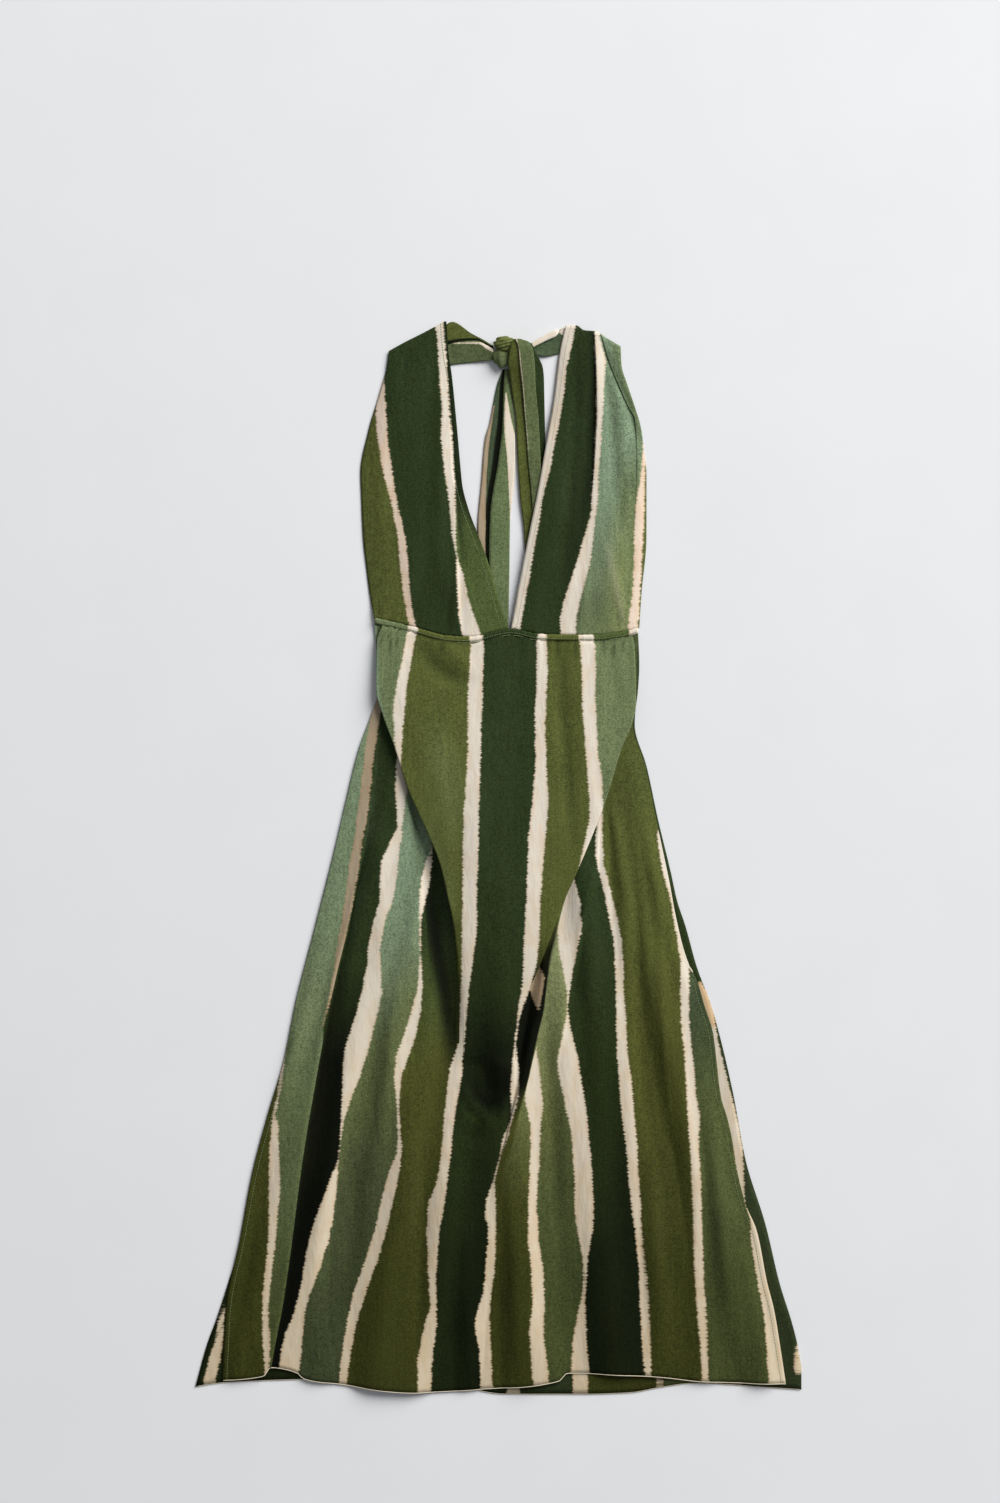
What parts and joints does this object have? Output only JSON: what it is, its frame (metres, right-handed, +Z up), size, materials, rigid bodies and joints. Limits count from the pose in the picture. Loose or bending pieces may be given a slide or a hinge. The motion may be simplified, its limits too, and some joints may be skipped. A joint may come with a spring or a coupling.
{
  "type": "halter dress",
  "caption": "Halter dress laid flat, with bodice panels in a deep V, knotted neck ties, a narrow waist casing and a flared skirt lying in folds.",
  "frame": {"origin": "middle of the laid dress's outline, on the surface it lies on", "axes": "+Y from the hem towards the neck, +X to the right as the front is seen from above, +Z up out of the surface"},
  "size_m": [0.7268, 1.2865, 0.024],
  "materials": {
    "skirt_front": "matte",
    "skirt_back": "matte",
    "waist_casing": "matte",
    "halter_panel_left": "matte",
    "halter_panel_right": "matte",
    "neck_tie_left": "matte",
    "neck_tie_right": "matte",
    "tie_knot": "matte",
    "tie_end_left": "matte",
    "tie_end_right": "matte"
  },
  "bodies": {
    "root": {"skirt_front": "skirt_front", "skirt_back": "skirt_back", "waist_casing": "waist_casing", "halter_panel_left": "halter_panel_left", "halter_panel_right": "halter_panel_right", "neck_tie_left": "neck_tie_left", "neck_tie_right": "neck_tie_right", "tie_knot": "tie_knot", "tie_end_left": "tie_end_left", "tie_end_right": "tie_end_right"}
  },
  "joints": []
}
